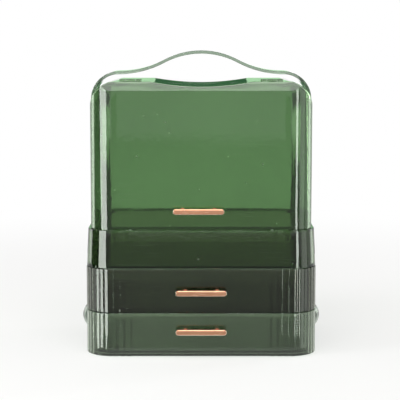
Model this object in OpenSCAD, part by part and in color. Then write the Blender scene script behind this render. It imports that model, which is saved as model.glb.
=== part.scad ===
// Dustproof countertop organizer: two drawers, an open tub above them and a
// clear hood whose front lid swings up under a carrying strap.
// +Z is up, the drawers open towards -Y, the floor is at z = 0.

/* [Lower body] */
// Width of the lower body across its smooth faces
body_w = 235.4; // [215:0.2:270]
// Depth of the lower body from drawer face to back
body_d = 165; // [150:1:200]
// Corner radius of the body seen from above
corner_r = 27; // [24:0.5:32]
// Wall thickness of the moulded shells
wall = 2.5; // [2:0.1:3]
// Height of the foot pads
foot_h = 1; // [0.8:0.1:3]
// Diameter of a foot pad
foot_d = 16; // [10:1:22]
// Thickness of the base plate
base_t = 2.5; // [2:0.1:3.5]
// Thickness of the shelf between the drawers
shelf_t = 2.2; // [1.8:0.1:3]
// Clear height of the lower drawer bay
lower_bay_h = 41.9; // [38:0.1:60]
// Clear height of the upper drawer bay
upper_bay_h = 44.4; // [38:0.1:60]
// Sphere radius of the round side domes
dome_r = 16; // [14:0.5:18]
// How far a side dome stands out of the wall
dome_out = 10; // [7:0.5:12]
// Height of the dome centres above the floor
dome_z = 28; // [24:0.5:32]

/* [Drawers] */
// Thickness of a drawer front
front_t = 3; // [2.5:0.1:3.5]
// How far a drawer front wraps back along the sides
front_wrap = 30.5; // [29:0.5:40]
// Wall and floor thickness of a drawer tray
tray_t = 2; // [1.6:0.1:2.4]
// How far each drawer pulls out
drawer_travel = 115; // [80:1:118]
// Spacing of the upright reeds on the front corners
reed_pitch = 7; // [5:0.5:9]
// How far a reed stands out of the front
reed_rise = 0.8; // [0.5:0.1:1.2]
// Distance of the first reed from the middle of the front
reed_start = 73; // [60:1:80]
// Thickness of a drawer runner strip
runner_t = 2.3; // [1.8:0.1:2.4]
// Height of a drawer runner strip
runner_h = 3; // [2:0.1:5]

/* [Tub] */
// Height of the tub above the drawers
tub_h = 39; // [32:0.5:60]
// How much the tub narrows on each side towards its rim
tub_taper = 2; // [1:0.1:3]
// How far the tub's foot stands outside the body
tub_flare = 0.4; // [0.2:0.1:1]
// Width of rim left showing outside the hood
rim_show = 2.8; // [2:0.1:4]
// Thickness of the tub's inward ledge
ledge_t = 2.5; // [2:0.1:3.5]
// Height of the dust lip on the ledge
lip_h = 3; // [2:0.1:5]
// Thickness of the dust lip
lip_t = 2; // [1.5:0.1:2.5]

/* [Hood and lid] */
// Height of the hood above the tub rim
hood_h = 150; // [130:1:200]
// Corner radius of the hood seen from the front
hood_r = 27; // [24:0.5:29]
// Depth of the lid from its face to the seam
lid_d = 26; // [24:0.5:34]
// Height of the bevel along the top front edge
bevel_h = 9; // [6:0.5:11]
// Depth of the bevel along the top front edge
bevel_d = 5; // [3:0.5:7]
// Radius of the hood's top back edge
back_r = 16; // [12:1:20]
// Width of the finger scoop in the top
scoop_w = 104; // [80:1:120]
// Depth of the finger scoop at its middle
scoop_drop = 5; // [3:0.5:7]
// Gap between the hood and the closed lid at the seam
seam_gap = 0.6; // [0.4:0.1:0.8]
// Gap between the lid and the tub rim
lid_gap = 0.4; // [0.3:0.05:0.8]

/* [Hinge] */
// Radius of a hinge knuckle
knuckle_r = 1.9; // [1.8:0.1:2.4]
// Radius of a hinge pin
pin_r = 0.8; // [0.6:0.05:1]
// Distance of each hinge's middle from the side of the hood
hinge_in = 41.3; // [35:0.1:48]
// Length of the lid's knuckle in each hinge
lid_knuckle_l = 10; // [6:1:14]
// Length of each outer knuckle on the hood
hood_knuckle_l = 6; // [4:1:8]

/* [Carrying strap] */
// Thickness of the strap
strap_t = 3; // [2.2:0.1:3.4]
// Width of the strap from front to back
strap_w = 46; // [30:1:60]
// Height of the strap's low ends above the hood top
strap_lift = 9.5; // [9:0.5:14]
// Further rise of the strap from its ends to its crown
strap_rise = 21; // [14:0.5:26]
// Corner radius of the strap
strap_r = 28.5; // [26:0.5:31]
// Share of the side sweep that belongs to the crown arc
crown_share = 0.46; // [0.35:0.01:0.55]
// Distance of the strap's front edge behind the lid seam
strap_back = 8; // [7:0.5:12]

/* [Pulls] */
// Length of a pull bar
pull_l = 52; // [44:1:64]
// Height of a pull bar
pull_h = 6; // [5:0.5:8]
// Thickness of a pull bar
pull_t = 4.5; // [3.5:0.1:6]
// Free space behind a pull bar
pull_gap = 7.5; // [6:0.5:12]
// Distance between the two posts of a pull
post_pitch = 32; // [28:1:38]
// Radius of a pull post
post_r = 2.6; // [2.4:0.1:2.9]
// Radius of a pull screw
screw_r = 1.45; // [1.2:0.05:1.5]
// Height of the lower drawer's pull above the floor
lower_pull_z = 28.4; // [20:0.1:36]
// Height of the upper drawer's pull above the shelf
upper_pull_up = 21; // [14:0.1:30]
// Height of the lid's pull above the tub rim
lid_pull_up = 20; // [14:0.5:40]
// Sideways place of the lid's pull
lid_pull_x = -2.6; // [-10:0.1:10]

/* [Hidden] */

$fn = 96;
fine_fn = 360;
back_steps = 10;
cut = 1;
fit = 0.05;
slip = 0.3;

// Colours
clear_green = [0.42, 0.58, 0.42, 0.55];
deep_green = [0.24, 0.36, 0.25, 0.6];
copper = [0.86, 0.56, 0.42];
steel = [0.72, 0.73, 0.74];
grey_rubber = [0.5, 0.52, 0.5];

// Places along Y: the pulls and the back are equally far from the origin
pull_reach = pull_t + pull_gap;
front_y = -(body_d + pull_reach) / 2 + pull_reach;
back_y = front_y + body_d;
side_y = front_y + front_wrap;
body_half = body_w / 2;

// Places along Z
base_top = foot_h + base_t;
shelf_z = base_top + lower_bay_h;
shelf_top = shelf_z + shelf_t;
tub_z = shelf_top + upper_bay_h;
rim_z = tub_z + tub_h;
hood_top = rim_z + hood_h;
edge_gap = 0.5;
front_split = (shelf_z + shelf_top) / 2;

// Hood outline, concentric with the body
hood_inset = tub_taper - tub_flare + rim_show;
hood_half = body_half - hood_inset;
hood_plan_r = corner_r - hood_inset;
lid_y = front_y + hood_inset;
hood_back = back_y - hood_inset;
seam_y = lid_y + lid_d;
hinge_x = hood_half - hinge_in;
scoop_r = (pow(scoop_w / 2, 2) + pow(scoop_drop, 2)) / (2 * scoop_drop);

// Carrying strap seen from the front: a crown, a sweep on each side and two corners
strap_end = hood_half - strap_r;
strap_low = hood_top + strap_lift;
strap_turn = 2 * atan(strap_rise / strap_end);
both_r = strap_end / sin(strap_turn);
crown_r = both_r * crown_share;
sweep_r = both_r - crown_r;
crown_z = strap_low + strap_rise - crown_r;

// Drawer trays
runner_gap = 0.4;
tray_half = body_half - wall - runner_t - runner_gap - 0.3;
tray_r = corner_r - (body_half - tray_half);
tray_y = front_y + front_t;
tray_back = back_y - wall - 3;
tray_lift = 0.8;
stop_h = 2.6;
tray_drop = 3.5;
flange_t = 2;
flange_w = body_half - wall - slip - tray_half;
runner_y = side_y + 4;
runner_end = back_y - corner_r - 1;
tab_w = 20;
tab_x = 40;
stop_t = 2;

// Pulls and their screws
post_bore = pull_gap - 1;
head_r = 2.8;
head_t = 1.4;
hole_r = screw_r + 0.25;
pull_edge = 1;

// Side domes
dome_y = (front_y + back_y) / 2;
dome_t = 2;
stem_r = 4;

// Rounded rectangle seen from above, from y0 to y1
module outline(half, y0, y1, r) {
    translate([-half, y0 + r]) square([2 * half, y1 - y0 - 2 * r]);
    translate([-half + r, y0]) square([2 * half - 2 * r, y1 - y0]);
    for (x = [-half + r, half - r], y = [y0 + r, y1 - r])
        translate([x, y]) circle(r);
}

// The body's own outline, moved in on every side
module body_outline(inset) {
    outline(body_half - inset, front_y + inset, back_y - inset, corner_r - inset);
}

// The hood's own outline, moved in on every side
module hood_outline(inset) {
    outline(hood_half - inset, lid_y + inset, hood_back - inset, hood_plan_r - inset);
}

// Half plane of the outline behind y
module behind(y) {
    translate([-body_w, y]) square([2 * body_w, 2 * body_d]);
}

// Extrudes a profile drawn in X and Z along Y, from y0 to y1
module along_y(y0, y1) {
    translate([0, y1, 0]) rotate([90, 0, 0]) linear_extrude(y1 - y0) children();
}

// Extrudes a profile drawn in Y and Z along X, from x0 to x1
module along_x(x0, x1) {
    translate([x0, 0, 0]) rotate([90, 0, 90]) linear_extrude(x1 - x0) children();
}

// Rounded block whose four sides lean in by taper over its height
module leaning_block(half, y0, y1, r, h, taper) {
    for (x = [-half + r, half - r], y = [y0 + r, y1 - r])
        translate([x, y, 0]) cylinder(h = h, r1 = r, r2 = r - taper);
    along_y(y0 + r, y1 - r)
        polygon([[-half, 0], [half, 0], [half - taper, h], [-half + taper, h]]);
    along_x(-half + r, half - r)
        polygon([[y0, 0], [y1, 0], [y1 - taper, h], [y0 + taper, h]]);
}

// Hood seen from the front, moved in on every side, from z0 up
module hood_face(inset, z0) {
    half = hood_half - inset;
    top = hood_top - inset;
    r = hood_r - inset;
    difference() {
        union() {
            translate([-half, z0]) square([2 * half, top - r - z0]);
            translate([-half + r, z0]) square([2 * half - 2 * r, top - z0]);
            for (x = [-half + r, half - r])
                translate([x, top - r]) circle(r);
        }
        translate([0, hood_top - scoop_drop + scoop_r])
            circle(scoop_r + inset, $fn = fine_fn);
    }
}

// Hood seen from the side: bevelled at the top front, rounded at the top back
module hood_side(inset, z0) {
    slope = norm([bevel_d, bevel_h]);
    low = hood_top - bevel_h - inset * (slope - bevel_h) / bevel_d;
    bevel_end = lid_y + bevel_d + inset * (slope - bevel_d) / bevel_h;
    top = hood_top - inset;
    back = hood_back - inset;
    r = back_r - inset;
    polygon(concat(
        [[lid_y + inset, low], [lid_y + inset, z0], [back, z0]],
        [for (i = [0 : back_steps])
            [back - r, top - r] + r * [cos(90 * i / back_steps), sin(90 * i / back_steps)]],
        [[bevel_end, top]]));
}

// Solid block of the hood and lid together
module hood_block(inset, z0) {
    intersection() {
        translate([0, 0, z0]) linear_extrude(hood_top - z0) hood_outline(inset);
        along_y(lid_y, hood_back) hood_face(inset, z0);
        along_x(-hood_half, hood_half) hood_side(inset, z0);
    }
}

// Shell of hood and lid together, open below
module hood_shell(z0) {
    difference() {
        hood_block(0, z0);
        hood_block(wall, z0 - cut);
    }
}

// One hinge knuckle lying along X, centred on its length
module knuckle(length, grow) {
    rotate([0, 90, 0]) cylinder(h = length, r = knuckle_r + grow, center = true);
}

// Places of the two hinges on the seam at the top
module at_hinges() {
    for (side = [-1, 1])
        translate([side * hinge_x, seam_y, hood_top]) children();
}

// Middles of the two outer knuckles of a hinge
function outer_knuckle_x() = lid_knuckle_l / 2 + slip + hood_knuckle_l / 2;

module hood_knuckles(grow, extra) {
    at_hinges()
        for (side = [-1, 1])
            translate([side * outer_knuckle_x(), 0, 0]) knuckle(hood_knuckle_l + extra, grow);
}

module lid_knuckles(grow, extra) {
    at_hinges() knuckle(lid_knuckle_l + extra, grow);
}

module pin_bores() {
    at_hinges()
        rotate([0, 90, 0])
            cylinder(h = 4 * outer_knuckle_x(), r = pin_r + fit, center = true);
}

// Two holes for the screws of a pull, through a wall that starts at y
module pull_holes(x, y, z, depth) {
    for (side = [-1, 1])
        translate([x + side * post_pitch / 2, y - cut, z])
            rotate([-90, 0, 0]) cylinder(h = depth + 2 * cut, r = hole_r);
}

// Bar with half-round ends in X and Z, its thickness along -Y
module pull_bar() {
    r = pull_h / 2;
    end_x = pull_l / 2 - r;
    thick = pull_t - pull_edge;
    along_x(-end_x, end_x)
        polygon([[0, -r], [0, r], [-thick, r], [-pull_t, r - pull_edge],
            [-pull_t, -r + pull_edge], [-thick, -r]]);
    for (x = [-end_x, end_x])
        translate([x, 0, 0]) rotate([90, 0, 0]) {
            cylinder(h = thick, r = r);
            translate([0, 0, thick]) cylinder(h = pull_edge, r1 = r, r2 = r - pull_edge);
        }
}

// Pull with its two posts against a face at y, centred on x and z
module pull(x, y, z) {
    color(copper) translate([x, y, z]) difference() {
        union() {
            translate([0, -pull_gap, 0]) pull_bar();
            for (side = [-1, 1])
                translate([side * post_pitch / 2, 0, 0]) rotate([90, 0, 0])
                    cylinder(h = pull_gap, r = post_r);
        }
        for (side = [-1, 1])
            translate([side * post_pitch / 2, cut, 0]) rotate([90, 0, 0])
                cylinder(h = post_bore + cut, r = screw_r + fit);
    }
}

// Two pan head screws that hold a pull through a wall of the given depth
module pull_screws(x, y, z, depth) {
    color(steel)
        for (side = [-1, 1])
            translate([x + side * post_pitch / 2, y + depth, z]) {
                rotate([-90, 0, 0]) difference() {
                    cylinder(h = head_t, r = head_r);
                    for (turn = [0, 90])
                        translate([0, 0, head_t]) rotate([0, 0, turn])
                            cube([3, 0.7, 1.2], center = true);
                }
                rotate([90, 0, 0]) cylinder(h = depth + post_bore - 1, r = screw_r);
            }
}

module base_plate() {
    color(deep_green) translate([0, 0, foot_h]) linear_extrude(base_t) {
        intersection() {
            body_outline(wall);
            behind(side_y);
        }
        body_outline(front_t + 0.4);
    }
}

module foot_pads() {
    inset = corner_r;
    color(grey_rubber)
        for (x = [-body_half + inset, body_half - inset], y = [front_y + inset, back_y - inset])
            translate([x, y, 0]) cylinder(h = foot_h, d = foot_d);
}

module housing() {
    color(deep_green) difference() {
        translate([0, 0, foot_h]) linear_extrude(tub_z - foot_h) difference() {
            intersection() {
                body_outline(0);
                behind(side_y);
            }
            body_outline(wall);
        }
        translate([0, dome_y, dome_z]) rotate([0, 90, 0])
            cylinder(h = body_w + 2 * cut, r = stem_r + fit, center = true);
    }
}

// Stop rib under a bay's ceiling, which the tabs of a tray run against
module stop_rib(ceiling) {
    rib_y = tray_back - tray_t - drawer_travel - slip - stop_t;
    translate([-tab_x - tab_w, rib_y, ceiling - stop_h])
        cube([2 * (tab_x + tab_w), stop_t, stop_h]);
}

module middle_shelf() {
    color(deep_green) {
        translate([0, 0, shelf_z]) linear_extrude(shelf_t) {
            intersection() {
                body_outline(wall);
                behind(side_y);
            }
            body_outline(front_t + 0.4);
        }
        stop_rib(shelf_z);
    }
}

// Runner strip on the inside of a side wall, under the flange of its tray
module runner(side, ceiling) {
    z = ceiling - tray_drop - flange_t - slip - runner_h;
    x = side > 0 ? body_half - wall - runner_t : -body_half + wall;
    color(clear_green) translate([x, runner_y, z])
        cube([runner_t, runner_end - runner_y, runner_h]);
}

// Half section of a side dome: a thin cap, and a stem that goes through the wall
module dome_section() {
    centre = dome_out - dome_r;
    difference() {
        intersection() {
            translate([0, centre]) circle(dome_r);
            square(2 * dome_r);
        }
        translate([0, centre]) circle(dome_r - dome_t);
    }
    translate([0, -wall]) square([stem_r, wall + dome_out - dome_t / 2]);
}

module side_dome(side) {
    color(clear_green) translate([side * body_half, dome_y, dome_z])
        rotate([0, side * 90, 0]) rotate_extrude() dome_section();
}

module tub() {
    half = body_half + tub_flare;
    y0 = front_y - tub_flare;
    y1 = back_y + tub_flare;
    r = corner_r + tub_flare;
    lean = tub_taper / tub_h;
    floor_in = wall * lean;
    cavity_h = tub_h - wall - ledge_t;
    lip_in = wall + lid_gap;
    color(deep_green) {
        difference() {
            translate([0, 0, tub_z]) leaning_block(half, y0, y1, r, tub_h, tub_taper);
            translate([0, 0, tub_z + wall])
                leaning_block(half - wall - floor_in, y0 + wall + floor_in,
                    y1 - wall - floor_in, r - wall - floor_in, cavity_h, lean * cavity_h);
            translate([0, 0, rim_z - ledge_t - cut / 2]) linear_extrude(ledge_t + cut)
                hood_outline(lip_in + lip_t);
        }
        translate([0, 0, rim_z]) linear_extrude(lip_h) difference() {
            hood_outline(lip_in);
            hood_outline(lip_in + lip_t);
        }
        stop_rib(tub_z);
    }
}

module lid_bumpers() {
    color(grey_rubber)
        for (side = [-1, 1])
            translate([side * hinge_x, lid_y + wall / 2, rim_z])
                cylinder(h = lid_gap - fit, d = wall);
}

module hood() {
    color(clear_green) difference() {
        union() {
            intersection() {
                hood_shell(rim_z);
                translate([0, 0, rim_z - cut]) linear_extrude(hood_h + 2 * cut)
                    behind(seam_y + seam_gap / 2);
            }
            hood_knuckles(0, 0);
        }
        lid_knuckles(slip, 2 * slip);
        pin_bores();
    }
}

module lid() {
    color(clear_green) difference() {
        union() {
            difference() {
                hood_shell(rim_z + lid_gap);
                translate([0, 0, rim_z - cut]) linear_extrude(hood_h + 2 * cut)
                    behind(seam_y - seam_gap / 2);
            }
            lid_knuckles(0, 0);
        }
        hood_knuckles(slip, 2 * slip);
        pin_bores();
        pull_holes(lid_pull_x, lid_y, rim_z + lid_pull_up, wall);
    }
}

// Space under the strap's outer face, moved in by depth
module under_strap(depth) {
    low = strap_low - depth;
    arc_r = crown_r - depth;
    join = [arc_r * sin(strap_turn), crown_z + arc_r * cos(strap_turn)];
    foot = strap_low - strap_r - cut;
    difference() {
        polygon([[-strap_end, foot], [strap_end, foot], [strap_end, low], join,
            [-join[0], join[1]], [-strap_end, low]]);
        for (side = [-1, 1])
            translate([side * strap_end, strap_low + sweep_r])
                circle(sweep_r + depth, $fn = fine_fn);
    }
    intersection() {
        translate([0, crown_z]) circle(arc_r, $fn = fine_fn);
        translate([-strap_end, low]) square([2 * strap_end, strap_rise + cut]);
    }
    for (side = [-1, 1])
        translate([side * strap_end, strap_low - strap_r])
            circle(strap_r - depth, $fn = fine_fn);
}

module carry_strap() {
    foot_z = max(hood_top - hood_r + 4, strap_low - strap_r);
    color(clear_green)
        along_y(seam_y + strap_back, seam_y + strap_back + strap_w) difference() {
            under_strap(0);
            under_strap(strap_t);
            hood_face(0, rim_z);
            translate([-body_w, rim_z]) square([2 * body_w, foot_z - rim_z]);
        }
}

// Steel pin of one hinge
module hinge_pin(side) {
    length = 2 * outer_knuckle_x() + hood_knuckle_l;
    color(steel) translate([side * hinge_x, seam_y, hood_top])
        rotate([0, 90, 0]) cylinder(h = length, r = pin_r, center = true);
}

// Outline of a drawer front with its reeded corners
module reeded_outline() {
    reed_r = (pow(reed_pitch, 2) / 4 + pow(reed_rise, 2)) / (2 * reed_rise);
    sunk = reed_r - reed_rise;
    flat_x = body_half - corner_r;
    flat_count = floor((flat_x - reed_start) / reed_pitch + 0.5);
    turn_count = round(corner_r * PI / 2 / reed_pitch);
    centre_y = front_y + corner_r;
    body_outline(0);
    for (side = [0, 1]) mirror([side, 0]) {
        for (i = [0 : flat_count - 1])
            translate([flat_x - (i + 0.5) * reed_pitch, front_y + sunk]) circle(reed_r);
        for (i = [0 : turn_count - 1])
            translate([flat_x, centre_y]) rotate(-90 + 90 * (i + 0.5) / turn_count)
                translate([corner_r - sunk, 0]) circle(reed_r);
    }
}

// Drawer front between two heights, its pull centred at pull_z
module drawer_front(z0, z1, pull_z) {
    color(deep_green) difference() {
        translate([0, 0, z0]) linear_extrude(z1 - z0) difference() {
            reeded_outline();
            body_outline(front_t);
            behind(side_y - edge_gap);
        }
        pull_holes(0, front_y, pull_z, front_t);
    }
}

// Tray of a drawer in a bay between floor and ceiling
module drawer_tray(bay_floor, ceiling, pull_z) {
    z0 = bay_floor + tray_lift;
    top = ceiling - tray_drop;
    color(clear_green) difference() {
        union() {
            translate([0, 0, z0]) linear_extrude(top - z0)
                outline(tray_half, tray_y, tray_back, tray_r);
            for (side = [-1, 1]) {
                translate([side * (tray_half + flange_w / 2 - tray_t / 2),
                    (runner_y + runner_end) / 2, top - flange_t / 2])
                    cube([flange_w + tray_t, runner_end - runner_y, flange_t], center = true);
                translate([side * tab_x - tab_w / 2, tray_back - tray_t, top - cut])
                    cube([tab_w, tray_t, tray_drop - tray_lift + cut]);
            }
        }
        translate([0, 0, z0 + tray_t]) linear_extrude(ceiling - z0)
            outline(tray_half - tray_t, tray_y + tray_t, tray_back - tray_t, tray_r - tray_t);
        pull_holes(0, tray_y, pull_z, tray_t);
    }
}

upper_pull_z = shelf_top + upper_pull_up;

base_plate();
foot_pads();
housing();
middle_shelf();
runner(-1, shelf_z);  // lower_runner_left
runner(1, shelf_z);  // lower_runner_right
runner(-1, tub_z);  // upper_runner_left
runner(1, tub_z);  // upper_runner_right
side_dome(-1);  // side_dome_left
side_dome(1);  // side_dome_right
tub();
lid_bumpers();
hood();
carry_strap();
hinge_pin(-1);  // hinge_pin_left
hinge_pin(1);  // hinge_pin_right
lid();
pull(lid_pull_x, lid_y, rim_z + lid_pull_up);  // lid_pull
pull_screws(lid_pull_x, lid_y, rim_z + lid_pull_up, wall);  // lid_pull_screws
drawer_front(front_split + edge_gap, tub_z - edge_gap, upper_pull_z);  // upper_drawer_front
drawer_tray(shelf_top, tub_z, upper_pull_z);  // upper_drawer_tray
pull(0, front_y, upper_pull_z);  // upper_drawer_pull
pull_screws(0, front_y, upper_pull_z, front_t + tray_t);  // upper_pull_screws
drawer_front(foot_h + edge_gap, front_split - edge_gap, lower_pull_z);  // lower_drawer_front
drawer_tray(base_top, shelf_z, lower_pull_z);  // lower_drawer_tray
pull(0, front_y, lower_pull_z);  // lower_drawer_pull
pull_screws(0, front_y, lower_pull_z, front_t + tray_t);  // lower_pull_screws
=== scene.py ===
import math
import bmesh
import bpy
from mathutils import Matrix, Vector


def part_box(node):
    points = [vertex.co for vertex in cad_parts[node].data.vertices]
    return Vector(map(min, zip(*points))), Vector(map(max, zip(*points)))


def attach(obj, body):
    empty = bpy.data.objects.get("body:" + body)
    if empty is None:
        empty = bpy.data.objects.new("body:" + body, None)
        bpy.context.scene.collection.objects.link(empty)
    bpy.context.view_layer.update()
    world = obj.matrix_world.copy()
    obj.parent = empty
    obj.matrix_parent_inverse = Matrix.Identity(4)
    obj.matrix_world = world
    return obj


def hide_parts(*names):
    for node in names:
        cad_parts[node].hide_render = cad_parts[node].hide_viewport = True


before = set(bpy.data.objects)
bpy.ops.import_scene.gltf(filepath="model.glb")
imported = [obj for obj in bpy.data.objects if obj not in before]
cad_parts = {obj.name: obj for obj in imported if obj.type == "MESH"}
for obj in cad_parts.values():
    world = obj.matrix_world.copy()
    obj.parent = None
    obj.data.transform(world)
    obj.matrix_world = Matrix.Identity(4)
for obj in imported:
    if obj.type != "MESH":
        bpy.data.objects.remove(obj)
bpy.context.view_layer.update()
mm = 0.001
weldWithin, levelWithin = 1e-6, 1e-7  # in metres
print("frame loaded")


# small steps that every node tree here is built from

def newGroup(name, inputs, outputs):
    group = bpy.data.node_groups.new(name, "ShaderNodeTree")
    for socketName, value in inputs.items():
        socket = group.interface.new_socket(socketName, in_out="INPUT", socket_type="NodeSocketFloat")
        socket.default_value = value
    for socketName in outputs:
        group.interface.new_socket(socketName, in_out="OUTPUT", socket_type="NodeSocketFloat")
    start = group.nodes.new("NodeGroupInput")
    end = group.nodes.new("NodeGroupOutput")
    return group, start, end


def placeGroup(tree, group, **values):
    node = tree.nodes.new("ShaderNodeGroup")
    node.node_tree = group
    for socketName, value in values.items():
        node.inputs[socketName.replace("_", " ")].default_value = value
    return node


def newMaterial(name):
    material = bpy.data.materials.new(name)
    material.use_nodes = True
    tree = material.node_tree
    tree.nodes.clear()
    output = tree.nodes.new("ShaderNodeOutputMaterial")
    shader = tree.nodes.new("ShaderNodeBsdfPrincipled")
    return material, tree, shader, output


def feed(tree, socket, value):
    if isinstance(value, bpy.types.NodeSocket):
        tree.links.new(value, socket)
    else:
        socket.default_value = value


def objectCoords(tree):
    return tree.nodes.new("ShaderNodeTexCoord").outputs["Object"]


def mathNode(tree, operation, first, second=None, clamp=False):
    node = tree.nodes.new("ShaderNodeMath")
    node.operation = operation
    node.use_clamp = clamp
    feed(tree, node.inputs[0], first)
    if second is not None:
        feed(tree, node.inputs[1], second)
    return node.outputs[0]


def rampNode(tree, value, low, high, fromValue=0.0, toValue=1.0):
    node = tree.nodes.new("ShaderNodeMapRange")
    node.interpolation_type = "SMOOTHSTEP"
    tree.links.new(value, node.inputs["Value"])
    for socketName, number in (("From Min", low), ("From Max", high),
                               ("To Min", fromValue), ("To Max", toValue)):
        node.inputs[socketName].default_value = number
    return node.outputs["Result"]


def noiseNode(tree, coords, scale, detail, roughness=0.5):
    node = tree.nodes.new("ShaderNodeTexNoise")
    tree.links.new(coords, node.inputs["Vector"])
    feed(tree, node.inputs["Scale"], scale)
    node.inputs["Detail"].default_value = detail
    node.inputs["Roughness"].default_value = roughness
    return node.outputs["Fac"]


def stretched(tree, coords, scale, angles=(0, 0, 0)):
    node = tree.nodes.new("ShaderNodeMapping")
    tree.links.new(coords, node.inputs["Vector"])
    node.inputs["Rotation"].default_value = [math.radians(angle) for angle in angles]
    node.inputs["Scale"].default_value = scale
    return node.outputs["Vector"]


def mixColour(tree, factor, first, second):
    node = tree.nodes.new("ShaderNodeMix")
    node.data_type = "RGBA"
    feed(tree, node.inputs["Factor"], factor)
    for socketName, value in (("A", first), ("B", second)):
        socket = [s for s in node.inputs if s.name == socketName and s.type == "RGBA"][0]
        feed(tree, socket, (*value, 1.0) if isinstance(value, tuple) else value)
    return [s for s in node.outputs if s.type == "RGBA"][0]


def mixShaders(tree, factor, first, second, output):
    mix = tree.nodes.new("ShaderNodeMixShader")
    tree.links.new(factor, mix.inputs["Fac"])
    tree.links.new(first, mix.inputs[1])
    tree.links.new(second, mix.inputs[2])
    tree.links.new(mix.outputs[0], output.inputs["Surface"])


def bumpNode(tree, height, distance, strength, normal=None):
    node = tree.nodes.new("ShaderNodeBump")
    node.inputs["Distance"].default_value = distance
    node.inputs["Strength"].default_value = strength
    tree.links.new(height, node.inputs["Height"])
    if normal is not None:
        tree.links.new(normal, node.inputs["Normal"])
    return node.outputs["Normal"]


# hairline scratches in patches, finger haze and stray dust, all as masks from 0 to 1
wear = {"scratchTurns": ((14, 31, 8), (-23, 9, 52), (5, -38, -27)), "scratchStretch": (0.02, 1.0, 1.0),
        "scratchEdge": (0.69, 0.73), "patchScale": 22.0, "patchEdge": (0.45, 0.62),
        "hazeEdge": (0.4, 0.75), "dustAbove": 0.72}


def buildHandlingWear():
    sizes = {"Scratch Scale": 900.0, "Haze Scale": 14.0, "Dust Scale": 95.0, "Dust Size": 0.045}
    group, start, end = newGroup("handlingWear", sizes, ("Scratches", "Haze", "Dust"))
    coords = objectCoords(group)
    lines = None
    for angles in wear["scratchTurns"]:
        thin = stretched(group, coords, wear["scratchStretch"], angles)
        streak = noiseNode(group, thin, start.outputs["Scratch Scale"], 1.0)
        line = rampNode(group, streak, *wear["scratchEdge"])
        lines = line if lines is None else mathNode(group, "MAXIMUM", lines, line)
    patch = rampNode(group, noiseNode(group, coords, wear["patchScale"], 2.0), *wear["patchEdge"])
    group.links.new(mathNode(group, "MULTIPLY", lines, patch), end.inputs["Scratches"])
    smear = noiseNode(group, coords, start.outputs["Haze Scale"], 4.0, 0.6)
    group.links.new(rampNode(group, smear, *wear["hazeEdge"]), end.inputs["Haze"])
    cells = group.nodes.new("ShaderNodeTexVoronoi")
    group.links.new(coords, cells.inputs["Vector"])
    group.links.new(start.outputs["Dust Scale"], cells.inputs["Scale"])
    colour = group.nodes.new("ShaderNodeSeparateColor")
    group.links.new(cells.outputs["Color"], colour.inputs["Color"])
    near = mathNode(group, "LESS_THAN", cells.outputs["Distance"], start.outputs["Dust Size"])
    few = mathNode(group, "GREATER_THAN", colour.outputs["Red"], wear["dustAbove"])
    group.links.new(mathNode(group, "MULTIPLY", near, few), end.inputs["Dust"])
    return group


# the slow ripple and faint orange peel of a moulded wall as a height, and the ripple as a shade
mouldMarks = {"rippleRough": 0.4, "peelRough": 0.5, "shadeEdge": (0.3, 0.7)}


def buildMouldFlow():
    sizes = {"Ripple Scale": 9.0, "Peel Scale": 260.0, "Peel": 0.15}
    group, start, end = newGroup("mouldFlow", sizes, ("Height", "Shade"))
    coords = objectCoords(group)
    ripple = noiseNode(group, coords, start.outputs["Ripple Scale"], 2.0, mouldMarks["rippleRough"])
    peel = noiseNode(group, coords, start.outputs["Peel Scale"], 2.0, mouldMarks["peelRough"])
    small = mathNode(group, "MULTIPLY", peel, start.outputs["Peel"])
    group.links.new(mathNode(group, "ADD", ripple, small), end.inputs["Height"])
    group.links.new(rampNode(group, ripple, *mouldMarks["shadeEdge"]), end.inputs["Shade"])
    return group


# painted highlight: the rims of a pull that face down or sideways are painted a pale cream, standing in for
# the bright reflection along its lower and end rims
paintedRimHighlight = {"start": 0.35, "blend": 0.25}


def buildRimPaintedHighlight():
    group, start, end = newGroup("rimPaintedHighlight", {"Start": paintedRimHighlight["start"]}, ("Mask",))
    axes = group.nodes.new("ShaderNodeSeparateXYZ")
    group.links.new(group.nodes.new("ShaderNodeTexCoord").outputs["Normal"], axes.inputs[0])
    down = mathNode(group, "MULTIPLY", axes.outputs["Z"], -1.0)
    along = mathNode(group, "ABSOLUTE", axes.outputs["X"])
    past = mathNode(group, "SUBTRACT", mathNode(group, "MAXIMUM", down, along), start.outputs["Start"])
    group.links.new(rampNode(group, past, 0.0, paintedRimHighlight["blend"]), end.inputs["Mask"])
    return group


handlingWear = buildHandlingWear()
mouldFlow = buildMouldFlow()
rimPaintedHighlight = buildRimPaintedHighlight()


def placeWear(tree, settings):
    return placeGroup(tree, handlingWear, Scratch_Scale=settings["scratchScale"],
                      Dust_Scale=settings["dustScale"], Dust_Size=settings["dustSize"])


def mottledColour(tree, settings):
    cloud = noiseNode(tree, objectCoords(tree), settings["mottleScale"], settings["mottleDetail"], 0.6)
    mottle = rampNode(tree, cloud, *settings["mottleEdge"])
    return mixColour(tree, mottle, settings["colour"], settings["deepColour"])


# see-through plastic: a thin tint at its surface and more of it through its thickness

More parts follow.
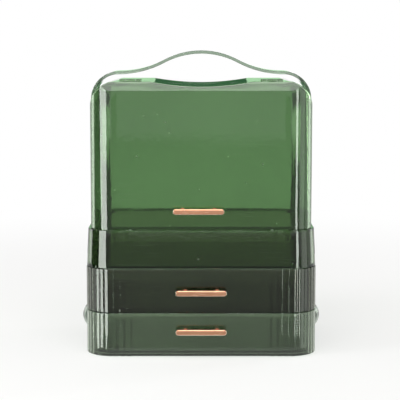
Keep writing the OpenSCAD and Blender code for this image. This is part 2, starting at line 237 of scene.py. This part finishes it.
def tintedPlastic(name, settings):
    material, tree, shader, output = newMaterial(name)
    marks = placeWear(tree, settings)
    moulded = placeGroup(tree, mouldFlow, Ripple_Scale=settings["rippleScale"])
    tint = settings["tint"]
    deeper = tuple(channel * settings["flowDepth"] for channel in tint)
    shaded = mixColour(tree, moulded.outputs["Shade"], tint, deeper)
    dusted = mixColour(tree, marks.outputs["Dust"], shaded, settings["dustColour"])
    tree.links.new(dusted, shader.inputs["Base Color"])
    haze = mathNode(tree, "MULTIPLY", marks.outputs["Haze"], settings["haze"])
    scuff = mathNode(tree, "MULTIPLY", marks.outputs["Scratches"], settings["scuff"])
    spot = mathNode(tree, "MULTIPLY", marks.outputs["Dust"], settings["dustRough"])
    total = mathNode(tree, "ADD", mathNode(tree, "ADD", haze, scuff), spot)
    rough = mathNode(tree, "ADD", total, settings["polish"], clamp=True)
    tree.links.new(rough, shader.inputs["Roughness"])
    ripple = bumpNode(tree, moulded.outputs["Height"], *settings["rippleRise"])
    scratched = bumpNode(tree, marks.outputs["Scratches"], *settings["scratchRise"], ripple)
    spotted = bumpNode(tree, marks.outputs["Dust"], *settings["dustRise"], scratched)
    tree.links.new(spotted, shader.inputs["Normal"])
    shader.inputs["IOR"].default_value = settings["ior"]
    shader.inputs["Transmission Weight"].default_value = 1.0
    path = tree.nodes.new("ShaderNodeLightPath")
    clear = tree.nodes.new("ShaderNodeBsdfTransparent")  # light through the walls reaches the floor
    clear.inputs["Color"].default_value = (*[channel ** 0.5 for channel in tint], 1.0)
    mixShaders(tree, path.outputs["Is Shadow Ray"], shader.outputs[0], clear.outputs[0], output)
    absorb = tree.nodes.new("ShaderNodeVolumeAbsorption")
    absorb.inputs["Color"].default_value = (*settings["absorbColor"], 1.0)
    absorb.inputs["Density"].default_value = settings["absorbDensity"]
    tree.links.new(absorb.outputs[0], output.inputs["Volume"])
    return material


# a rise is how high a mark stands, in metres, and how strongly it shows
commonPlastic = {
    "ior": 1.49, "polish": 0.02, "flowDepth": 0.94, "rippleScale": 8.0, "rippleRise": (0.0002, 1.0),
    "haze": 0.03, "scuff": 0.12, "scratchScale": 900.0, "scratchRise": (-0.00003, 0.5),
    "dustScale": 62.0, "dustSize": 0.05, "dustColour": (0.95, 0.96, 0.93), "dustRough": 0.5,
    "dustRise": (0.0002, 0.8)}
clearGreen = tintedPlastic("clearGreenPlastic", {
    **commonPlastic, "tint": (0.298, 0.448, 0.264), "absorbColor": (0.30, 0.62, 0.24), "absorbDensity": 26.0})
strapGreen = tintedPlastic("strapGreenPlastic", {
    **commonPlastic, "tint": (0.49, 0.55, 0.49), "absorbColor": (0.47, 0.62, 0.46), "absorbDensity": 22.0})
tubGreen = tintedPlastic("deepGreenPlastic", {
    **commonPlastic, "tint": (0.16, 0.236, 0.119), "absorbColor": (0.30, 0.55, 0.28), "absorbDensity": 30.0})
drawerSmoke = tintedPlastic("smokyGreenPlastic", {
    **commonPlastic, "tint": (0.53, 0.60, 0.50), "absorbColor": (0.35, 0.5, 0.33), "absorbDensity": 26.0})
# painted shade: a darker copy of the smoky plastic for the upper drawer's front, where shade falls under the
# tub
shadedSmoke = tintedPlastic("shadedSmokyPlastic", {
    **commonPlastic, "tint": (0.185, 0.198, 0.15), "absorbColor": (0.35, 0.5, 0.33), "absorbDensity": 26.0})
traySmoke = tintedPlastic("trayPlastic", {
    **commonPlastic, "tint": (0.54, 0.60, 0.53), "absorbColor": (0.35, 0.5, 0.33), "absorbDensity": 22.0})
print("see-through plastics made")


def brushedMetal(name, settings):
    material, tree, shader, output = newMaterial(name)
    tree.links.new(shader.outputs[0], output.inputs["Surface"])
    marks = placeWear(tree, settings)
    base = mottledColour(tree, settings)
    # painted highlight: a pale cream in the base colour on the rims that face down or sideways
    if "rimHighlightColour" in settings:
        rimHighlit = placeGroup(tree, rimPaintedHighlight, Start=settings["rimHighlightStart"])
        base = mixColour(tree, rimHighlit.outputs["Mask"], base, settings["rimHighlightColour"])
    marked = mixColour(tree, marks.outputs["Scratches"], base, settings["markColour"])
    tree.links.new(marked, shader.inputs["Base Color"])
    shader.inputs["Metallic"].default_value = 1.0
    haze = mathNode(tree, "MULTIPLY", marks.outputs["Haze"], settings["haze"])
    scuff = mathNode(tree, "MULTIPLY", marks.outputs["Scratches"], settings["scuff"])
    rough = mathNode(tree, "ADD", mathNode(tree, "ADD", haze, scuff), settings["roughness"])
    tree.links.new(rough, shader.inputs["Roughness"])
    brushed = stretched(tree, objectCoords(tree), settings["grainStretch"])
    grain = noiseNode(tree, brushed, settings["grainScale"], 2.0)
    tree.links.new(bumpNode(tree, grain, *settings["grainRise"]), shader.inputs["Normal"])
    return material


commonMetal = {"mottleDetail": 4.0, "mottleEdge": (0.3, 0.7), "grainScale": 5200.0, "scuff": 0.15,
               "dustScale": 220.0, "dustSize": 0.03}
# the rim colour and start set the painted highlight on the pulls' lower and end rims
roseCopper = brushedMetal("roseCopper", {
    **commonMetal, "colour": (0.90, 0.46, 0.295), "deepColour": (0.84, 0.415, 0.26),
    "markColour": (0.94, 0.66, 0.5), "rimHighlightColour": (0.97, 0.80, 0.66), "rimHighlightStart": 0.4,
    "mottleScale": 60.0, "scratchScale": 2600.0, "haze": 0.08, "roughness": 0.2,
    "grainStretch": (0.03, 1.0, 1.0), "grainRise": (0.00001, 0.3)})
plainSteel = brushedMetal("plainSteel", {
    **commonMetal, "colour": (0.62, 0.63, 0.64), "deepColour": (0.52, 0.53, 0.54),
    "markColour": (0.75, 0.75, 0.76),
    "mottleScale": 140.0, "scratchScale": 3000.0, "haze": 0.1, "roughness": 0.24,
    "grainStretch": (1.0, 0.1, 1.0), "grainRise": (0.00001, 0.4)})


def softRubber(name, settings):
    material, tree, shader, output = newMaterial(name)
    tree.links.new(shader.outputs[0], output.inputs["Surface"])
    marks = placeWear(tree, settings)
    base = mottledColour(tree, settings)
    dusted = mixColour(tree, marks.outputs["Dust"], base, settings["dustColour"])
    tree.links.new(dusted, shader.inputs["Base Color"])
    shader.inputs["Roughness"].default_value = settings["roughness"]
    skin = noiseNode(tree, objectCoords(tree), settings["skinScale"], 3.0)
    tree.links.new(bumpNode(tree, skin, *settings["skinRise"]), shader.inputs["Normal"])
    return material


greyRubber = softRubber("greyRubber", {
    "colour": (0.30, 0.32, 0.30), "deepColour": (0.24, 0.26, 0.24), "roughness": 0.62,
    "mottleScale": 160.0, "mottleDetail": 5.0, "mottleEdge": (0.3, 0.7), "scratchScale": 1600.0,
    "dustScale": 260.0, "dustSize": 0.09, "dustColour": (0.6, 0.6, 0.58),
    "skinScale": 3200.0, "skinRise": (0.00004, 0.5)})
print("metals and rubber made")


# how every new piece is rounded, closed off, shaded and tied to the model

def roundEdges(bm, edges, offset, segments):
    bmesh.ops.bevel(bm, geom=edges, offset=offset * mm, offset_type="OFFSET", segments=segments,
                    profile=0.5, affect="EDGES", clamp_overlap=True, material=-1)


def finishPiece(bm, name, material, body, nodes, smoothAngle=50):
    bmesh.ops.recalc_face_normals(bm, faces=bm.faces)
    mesh = bpy.data.meshes.new(name)
    bm.to_mesh(mesh)
    bm.free()
    for face in mesh.polygons:
        face.use_smooth = True
    mesh.set_sharp_from_angle(angle=math.radians(smoothAngle))
    piece = bpy.data.objects.new(name, mesh)
    bpy.context.scene.collection.objects.link(piece)
    piece.data.materials.append(material)
    weighted = piece.modifiers.new("flatFaces", "WEIGHTED_NORMAL")
    weighted.keep_sharp = True
    weighted.weight = 50
    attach(piece, body)
    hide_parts(*nodes)


# moulded pieces are their solids with the outer edges eased, in mm and degrees
moulding = {"relief": 0.04, "segments": 3, "shortest": 0.75, "sharpest": 35, "flatWithin": 0.3,
            "hingeKept": False}
hingeZone = {"xMiddle": 72.0, "xHalf": 13.0, "yMiddle": -46.1, "yHalf": 5.0, "zLow": 275.0}


def relieve(bm, depth):
    # draws every face in by a hair, so that no two see-through faces share a plane
    bm.normal_update()
    moves = [(vert, vert.normal * vert.calc_shell_factor() * depth * mm) for vert in bm.verts]
    for vert, move in moves:
        vert.co -= move


def nearHinge(point):
    x, y, z = (value / mm for value in point)
    return (abs(abs(x) - hingeZone["xMiddle"]) < hingeZone["xHalf"]
            and abs(y - hingeZone["yMiddle"]) < hingeZone["yHalf"] and z > hingeZone["zLow"])


def easedCopy(nodeName, pieceName, body, settings):
    settings = {**moulding, **settings}
    bm = bmesh.new()
    bm.from_mesh(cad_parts[nodeName].data)
    bmesh.ops.remove_doubles(bm, verts=bm.verts, dist=weldWithin)
    flatWithin = math.radians(settings["flatWithin"])
    bmesh.ops.dissolve_limit(bm, angle_limit=flatWithin, verts=bm.verts, edges=bm.edges)
    relieve(bm, settings["relief"])
    bm.normal_update()
    outer = []
    for edge in bm.edges:
        if not edge.is_convex or edge.calc_face_angle(0) < math.radians(settings["sharpest"]):
            continue
        if edge.calc_length() < settings["shortest"] * mm:
            continue
        if settings["hingeKept"] and any(nearHinge(vert.co) for vert in edge.verts):
            continue
        outer.append(edge)
    roundEdges(bm, outer, settings["ease"], settings["segments"])
    finishPiece(bm, pieceName, settings["material"], body, [nodeName])


basePlate = {"ease": 0.4, "material": drawerSmoke, "slot": "smoky_plastic"}
easedCopy("base_plate", "basePlate", "cabinet", basePlate)

housing = {"ease": 0.35, "material": drawerSmoke, "slot": "smoky_plastic"}
easedCopy("housing", "housingShell", "cabinet", housing)

middleShelf = {"ease": 0.3, "material": traySmoke, "slot": "smoky_plastic"}
easedCopy("middle_shelf", "middleShelf", "cabinet", middleShelf)

tub = {"ease": 0.7, "material": tubGreen, "slot": "smoky_plastic"}
easedCopy("tub", "tubShell", "cabinet", tub)

strap = {"ease": 0.5, "material": strapGreen, "slot": "clear_green_plastic"}
easedCopy("carry_strap", "carryStrap", "cabinet", strap)

# the hinge knuckles between hood and lid keep their clearances
hoodAndLid = {"ease": 0.35, "sharpest": 20, "hingeKept": True, "material": clearGreen,
              "slot": "clear_green_plastic"}
easedCopy("hood", "hoodShell", "cabinet", hoodAndLid)
easedCopy("lid", "lidShell", "lid", hoodAndLid)

sideDome = {"ease": 0.25, "segments": 2, "shortest": 0.3, "material": strapGreen,
            "slot": "clear_green_plastic"}
runner = {"ease": 0.3, "segments": 2, "material": drawerSmoke, "slot": "smoky_plastic"}
for side in ("left", "right"):
    easedCopy("side_dome_" + side, "sideDome" + side.capitalize(), "cabinet", sideDome)
    for level in ("lower", "upper"):
        easedCopy(f"{level}_runner_{side}", f"{level}Runner{side.capitalize()}", "cabinet", runner)

drawerFront = {"ease": 0.5, "slot": "smoky_plastic"}
drawerTray = {"ease": 0.3, "material": traySmoke, "slot": "tray_plastic"}
# the upper drawer's front takes the darker copy of the smoky plastic, which is painted shade
for level, smoke in (("lower", drawerSmoke), ("upper", shadedSmoke)):
    drawer = level + "_drawer"
    easedCopy(drawer + "_front", level + "DrawerFront", drawer, {**drawerFront, "material": smoke})
    easedCopy(drawer + "_tray", level + "DrawerTray", drawer, drawerTray)

footPads = {"ease": 0.25, "material": greyRubber, "slot": "grey_rubber"}
easedCopy("foot_pads", "footPads", "cabinet", footPads)
print("eased shells placed")


# copper pulls, each a round-ended bar on two bored posts, in mm and degrees; the fillet's points are
# how far out from a post's flank they stand, and how high from the back of the bar
pull = {"length": 52.0, "height": 6.0, "thick": 4.5, "gap": 7.5, "frontRim": 1.4, "backRim": 0.5,
        "postPitch": 32.0, "postR": 2.6, "footBreak": 0.25, "screwR": 1.45, "boreDeep": 6.5,
        "fillet": ((0.0, -1.0), (0.12, -0.55), (0.45, -0.2), (0.9, 0.0)), "sunk": 0.4,
        "roundSteps": 48, "postSteps": 40, "frontSteps": 5, "backSteps": 3, "smoothAngle": 40}


def addPost(bm, x):
    # half section of a post, spun round its own axis: bore, foot, flank and the fillet under the bar
    postR, footBreak, foot = pull["postR"], pull["footBreak"], -pull["gap"]
    boreTop = foot + pull["boreDeep"]
    filletR = postR + pull["fillet"][-1][0]
    section = [(0.0, boreTop), (pull["screwR"], boreTop), (pull["screwR"], foot),
               (postR - footBreak, foot), (postR, foot + footBreak)]
    section += [(postR + out, up) for out, up in pull["fillet"]]
    section += [(filletR, pull["sunk"]), (0.0, pull["sunk"])]
    verts = [bm.verts.new(((x + r) * mm, 0, z * mm)) for r, z in section]
    edges = [bm.edges.new(pair) for pair in zip(verts, verts[1:])]
    bmesh.ops.spin(bm, geom=verts + edges, cent=(x * mm, 0, 0), axis=(0, 0, 1), dvec=(0, 0, 0),
                   angle=math.tau, steps=pull["postSteps"], use_merge=True, use_duplicate=False)
    margin = 0.1
    around = [v for v in bm.verts if (v.co.xy - Vector((x * mm, 0))).length < (filletR + margin) * mm
              and (foot - margin) * mm < v.co.z < (pull["sunk"] + margin) * mm]
    bmesh.ops.remove_doubles(bm, verts=around, dist=weldWithin)


def pullPiece(name, nodeName, body):
    low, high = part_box(nodeName)
    middle = (low + high) / 2
    thick = pull["thick"] * mm
    stretch = (pull["length"] - pull["height"]) / 2 * mm
    bm = bmesh.new()
    bmesh.ops.create_circle(bm, cap_ends=True, segments=pull["roundSteps"], radius=pull["height"] / 2 * mm)
    for vert in bm.verts:
        atMiddle = abs(vert.co.x) < levelWithin
        vert.co.x = 0.0 if atMiddle else vert.co.x + math.copysign(stretch, vert.co.x)
    extruded = bmesh.ops.extrude_face_region(bm, geom=list(bm.faces))
    lifted = [item for item in extruded["geom"] if isinstance(item, bmesh.types.BMVert)]
    bmesh.ops.translate(bm, verts=lifted, vec=(0, 0, thick))
    bmesh.ops.recalc_face_normals(bm, faces=bm.faces)
    frontEdges = [e for e in bm.edges if all(v.co.z > thick - levelWithin for v in e.verts)]
    roundEdges(bm, frontEdges, pull["frontRim"], pull["frontSteps"])
    backEdges = [e for e in bm.edges if all(v.co.z < levelWithin for v in e.verts)]
    roundEdges(bm, backEdges, pull["backRim"], pull["backSteps"])
    for side in (-1, 1):
        addPost(bm, side * pull["postPitch"] / 2)
    # drawn face up; turned to face the user and put where its solid is
    turn = Matrix.Rotation(math.radians(90), 4, "X")
    place = Matrix.Translation((middle.x, high.y - pull["gap"] * mm, middle.z))
    bmesh.ops.transform(bm, matrix=place @ turn, verts=bm.verts)
    finishPiece(bm, name, roseCopper, body, [nodeName], pull["smoothAngle"])


pullPiece("lidPull", "lid_pull", "lid")
pullPiece("upperDrawerPull", "upper_drawer_pull", "upper_drawer")
pullPiece("lowerDrawerPull", "lower_drawer_pull", "lower_drawer")
print("pulls placed")


# small hardware keeps its solids
hardware = {"lid_pull_screws": plainSteel, "upper_pull_screws": plainSteel,
            "lower_pull_screws": plainSteel, "hinge_pin_left": plainSteel, "hinge_pin_right": plainSteel,
            "lid_bumpers": greyRubber}
for nodeName, material in hardware.items():
    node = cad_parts[nodeName]
    if not node.material_slots:
        node.data.materials.append(material)
    for materialSlot in node.material_slots:
        materialSlot.material = material
print("hardware dressed")


def placeStage(bm, name, material, hiddenFrom=()):
    mesh = bpy.data.meshes.new(name)
    bm.to_mesh(mesh)
    bm.free()
    staged = bpy.data.objects.new(name, mesh)
    bpy.context.scene.collection.objects.link(staged)
    staged.data.materials.append(material)
    for ray in hiddenFrom:
        setattr(staged, "visible_" + ray, False)


# a pale floor that turns white with distance, in a surround that is white wherever it is seen
studio = {"floorColour": (0.90, 0.90, 0.89), "floorRoughness": 0.9, "floorHalf": 8.0, "floorGlow": 0.55,
          "glowReach": (0.25, 1.1), "ambientColour": (1.0, 0.99, 0.97), "ambient": 0.55,
          "seenColour": (1.0, 1.0, 1.0), "seen": 1.0}


def seenMask(tree):
    path = tree.nodes.new("ShaderNodeLightPath")
    seen = mathNode(tree, "MAXIMUM", path.outputs["Is Camera Ray"], path.outputs["Is Glossy Ray"])
    return mathNode(tree, "MAXIMUM", seen, path.outputs["Is Transmission Ray"])


def backgroundNode(tree, colour, strength):
    node = tree.nodes.new("ShaderNodeBackground")
    node.inputs["Color"].default_value = (*colour, 1.0)
    node.inputs["Strength"].default_value = strength
    return node.outputs[0]


def buildFloor():
    bm = bmesh.new()
    bmesh.ops.create_grid(bm, x_segments=1, y_segments=1, size=studio["floorHalf"])
    material, tree, shader, output = newMaterial("paleFloor")
    shader.inputs["Base Color"].default_value = (*studio["floorColour"], 1.0)
    shader.inputs["Roughness"].default_value = studio["floorRoughness"]
    shader.inputs["Specular IOR Level"].default_value = 0.0
    glow = tree.nodes.new("ShaderNodeEmission")
    fromMiddle = tree.nodes.new("ShaderNodeVectorMath")
    fromMiddle.operation = "LENGTH"
    tree.links.new(objectCoords(tree), fromMiddle.inputs[0])
    share = rampNode(tree, fromMiddle.outputs["Value"], *studio["glowReach"], studio["floorGlow"], 1.0)
    white = mathNode(tree, "MULTIPLY", seenMask(tree), share)
    mixShaders(tree, white, shader.outputs[0], glow.outputs[0], output)
    placeStage(bm, "floor", material)


def buildWorld():
    world = bpy.data.worlds.new("studioWorld")
    bpy.context.scene.world = world
    world.use_nodes = True
    tree = world.node_tree
    tree.nodes.clear()
    output = tree.nodes.new("ShaderNodeOutputWorld")
    ambient = backgroundNode(tree, studio["ambientColour"], studio["ambient"])
    white = backgroundNode(tree, studio["seenColour"], studio["seen"])
    mixShaders(tree, seenMask(tree), ambient, white, output)


buildFloor()
buildWorld()


# sheets that the shiny walls mirror, in metres: each is a line drawn out by its rise, and its front
# is the side from which the line runs to the right and the rise goes up
glossOnly = ("camera", "diffuse", "transmission", "shadow", "volume_scatter")
glossAndThrough = ("camera", "diffuse", "shadow", "volume_scatter")


def studioSheet(name, start, end, rise, material, hiddenFrom=glossOnly):
    start, end, rise = Vector(start), Vector(end), Vector(rise)
    bm = bmesh.new()
    line = bm.edges.new([bm.verts.new(start), bm.verts.new(end)])
    drawn = bmesh.ops.extrude_edge_only(bm, edges=[line])
    moved = [item for item in drawn["geom"] if isinstance(item, bmesh.types.BMVert)]
    bmesh.ops.translate(bm, verts=moved, vec=rise)
    bm.normal_update()
    front = (end - start).cross(rise)
    bmesh.ops.reverse_faces(bm, faces=[face for face in bm.faces if face.normal.dot(front) < 0])
    placeStage(bm, name, material, hiddenFrom)


def glowMaterial(name, colour, strength=1.0, oneSided=False):
    # a one-sided glow shines from its back, and is clear when it is seen from its front
    material, tree, shader, output = newMaterial(name)
    tree.nodes.remove(shader)
    glow = tree.nodes.new("ShaderNodeEmission")
    glow.inputs["Color"].default_value = (*colour, 1.0)
    glow.inputs["Strength"].default_value = strength
    if oneSided:
        fromBack = tree.nodes.new("ShaderNodeNewGeometry").outputs["Backfacing"]
        clear = tree.nodes.new("ShaderNodeBsdfTransparent")
        mixShaders(tree, fromBack, clear.outputs[0], glow.outputs[0], output)
    else:
        tree.links.new(glow.outputs[0], output.inputs["Surface"])
    return material


# dark cards behind both sides, which are also seen through the walls
card = {"colour": (0.02, 0.025, 0.02), "near": 0.148, "far": 0.42, "y": 0.6, "height": 0.6}
cardBlack, cardTree, cardShader, cardOutput = newMaterial("cardBlack")
cardShader.inputs["Base Color"].default_value = (*card["colour"], 1.0)
cardTree.links.new(cardShader.outputs[0], cardOutput.inputs["Surface"])
for side, name in ((-1, "cardLeft"), (1, "cardRight")):
    studioSheet(name, (side * card["near"], card["y"], 0.0), (side * card["far"], card["y"], 0.0),
                (0, 0, card["height"]), cardBlack, glossAndThrough)

# screens behind the object, mirrored in its roof: dark over the scoop, paler at both sides;
# each has its shade, its left and right end and its lower edge
screen = {"dark": (0.04, 0.13, 0.055), "pale": (0.46, 0.78, 0.46), "y": 0.5, "top": 0.7}
screenGlow = {"dark": glowMaterial("screenDark", screen["dark"]),
              "pale": glowMaterial("screenPale", screen["pale"])}
screens = {"screenScoop": ("dark", -0.062, 0.062, 0.285),
           "screenRoofLeft": ("pale", -0.135, -0.062, 0.285),
           "screenRoofRight": ("pale", 0.062, 0.135, 0.285),
           "screenTurnLeft": ("dark", -0.15, -0.135, 0.15),
           "screenTurnRight": ("dark", 0.135, 0.15, 0.15),
           "screenSideLeft": ("pale", -0.25, -0.15, 0.15),
           "screenSideRight": ("pale", 0.15, 0.25, 0.15)}
for name, (shade, left, right, low) in screens.items():
    studioSheet(name, (left, screen["y"], low), (right, screen["y"], low), (0, 0, screen["top"] - low),
                screenGlow[shade])

# a grey sheet just above the floor in front, which deepens what the front mirrors
frontFlag = {"colour": (0.46, 0.47, 0.44), "half": 1.2, "near": -0.115, "far": -3.0, "z": 0.001}
studioSheet("frontFlag", (-frontFlag["half"], frontFlag["far"], frontFlag["z"]),
            (frontFlag["half"], frontFlag["far"], frontFlag["z"]),
            (0, frontFlag["near"] - frontFlag["far"], 0), glowMaterial("flagGrey", frontFlag["colour"]))

# flags beside the front corners, dark on one side and clear on the other, so that the flat sides
# and the flat front mirror none of the fans; each has its shade, both its ends, its foot and its top
flagShades = {"green": (0.10, 0.16, 0.10), "pale": (0.46, 0.47, 0.44)}
flags = {"flagSideLeft": ("green", (-0.48, -0.047), (-0.127, -0.047), 0.0, 0.6),
         "flagSideRight": ("green", (0.127, -0.047), (0.48, -0.047), 0.0, 0.6),
         "flagFrontLeft": ("pale", (-0.078, -0.0885), (-0.078, -0.16), 0.0, 0.14),
         "flagFrontRight": ("pale", (0.078, -0.16), (0.078, -0.0885), 0.0, 0.14),
         "flagLidLeft": ("pale", (-0.0905, -0.078), (-0.0905, -0.16), 0.105, 0.265),
         "flagLidRight": ("pale", (0.0905, -0.16), (0.0905, -0.078), 0.105, 0.265)}
for name, (shade, start, end, low, high) in flags.items():
    studioSheet(name, (*start, low), (*end, low), (0, 0, high - low),
                glowMaterial(name, flagShades[shade], oneSided=True))

# fans stand beside a corner and shine towards it, seen only as its highlights, or as shade at a
# strength of 0; each has its corner, the angles it stands between (turned from straight ahead
# towards +X), its reach, top and strength
fanColour, fanFoot = (0.94, 1.0, 0.93), 0.001
fanCorners = {"left": (-0.0907, -0.0495), "right": (0.0907, -0.0495),
              "reedLeft": (-0.082, -0.0765), "reedRight": (0.082, -0.0765)}
fans = {"leftFan": ("left", -49.0, -31.0, 0.06, 0.5, 12.0),
        "shadeFanLeft": ("left", -104.0, -62.0, 0.75, 0.5, 0.0),
        "leftBackFan": ("left", -126.0, -107.0, 0.75, 0.5, 3.5),
        "rightFan": ("right", 41.0, 65.0, 0.06, 0.5, 2.4),
        "rightBackFan": ("right", 107.0, 128.0, 0.75, 0.5, 3.5),
        "reedFanLeft": ("reedLeft", -50.0, -38.0, 0.1, 0.5, 13.0),
        "reedFanRight": ("reedRight", 37.0, 48.0, 0.1, 0.5, 12.0),
        "reedFanOuter": ("left", -70.0, -65.0, 0.1, 0.085, 6.0)}


def fanEnd(corner, angle, reach):
    x, y = fanCorners[corner]
    turned = math.radians(angle)
    return (x + reach * math.sin(turned), y - reach * math.cos(turned), fanFoot)


for name, (corner, first, last, reach, top, strength) in fans.items():
    studioSheet(name, fanEnd(corner, first, reach), fanEnd(corner, last, reach), (0, 0, top - fanFoot),
                glowMaterial(name + "Glow", fanColour, strength, oneSided=True))


# soft lamps: where each stands, what it points at, its width and height, and its watts
lamps = {"leftBox": ((-1.25, -0.62, 0.42), (0, 0, 0.16), 0.5, 0.8, 11.0),
         "rightStrip": ((1.2, 0.55, 0.4), (0, 0, 0.16), 0.16, 0.8, 4.0),
         "topBox": ((0.0, -0.97, 1.6), (0, 0, 0.25), 1.4, 0.9, 14.0)}
for name, (place, target, width, height, watts) in lamps.items():
    data = bpy.data.lights.new(name, "AREA")
    data.shape = "RECTANGLE"
    data.size = width
    data.size_y = height
    data.energy = watts
    lamp = bpy.data.objects.new(name, data)
    bpy.context.scene.collection.objects.link(lamp)
    lamp.location = place
    lamp.rotation_euler = (Vector(target) - Vector(place)).to_track_quat("-Z", "Y").to_euler()

view = {"place": (-0.0012, -1.3765, 0.322), "pitchDown": 7.0, "lens": 117.0, "sensor": 36.0,
        "farthest": 50.0}
cameraData = bpy.data.cameras.new("camera")
cameraData.lens = view["lens"]
cameraData.sensor_width = view["sensor"]
cameraData.clip_end = view["farthest"]
camera = bpy.data.objects.new("camera", cameraData)
bpy.context.scene.collection.objects.link(camera)
camera.location = view["place"]
camera.rotation_euler = (math.radians(90.0 - view["pitchDown"]), 0.0, 0.0)
scene = bpy.context.scene
scene.camera = camera
scene.view_settings.view_transform = "Standard"

# light crosses many see-through walls on its way
scene.cycles.max_bounces = 40
scene.cycles.transmission_bounces = 36
scene.cycles.glossy_bounces = 8
scene.cycles.transparent_max_bounces = 64
print("studio ready")

print("done")
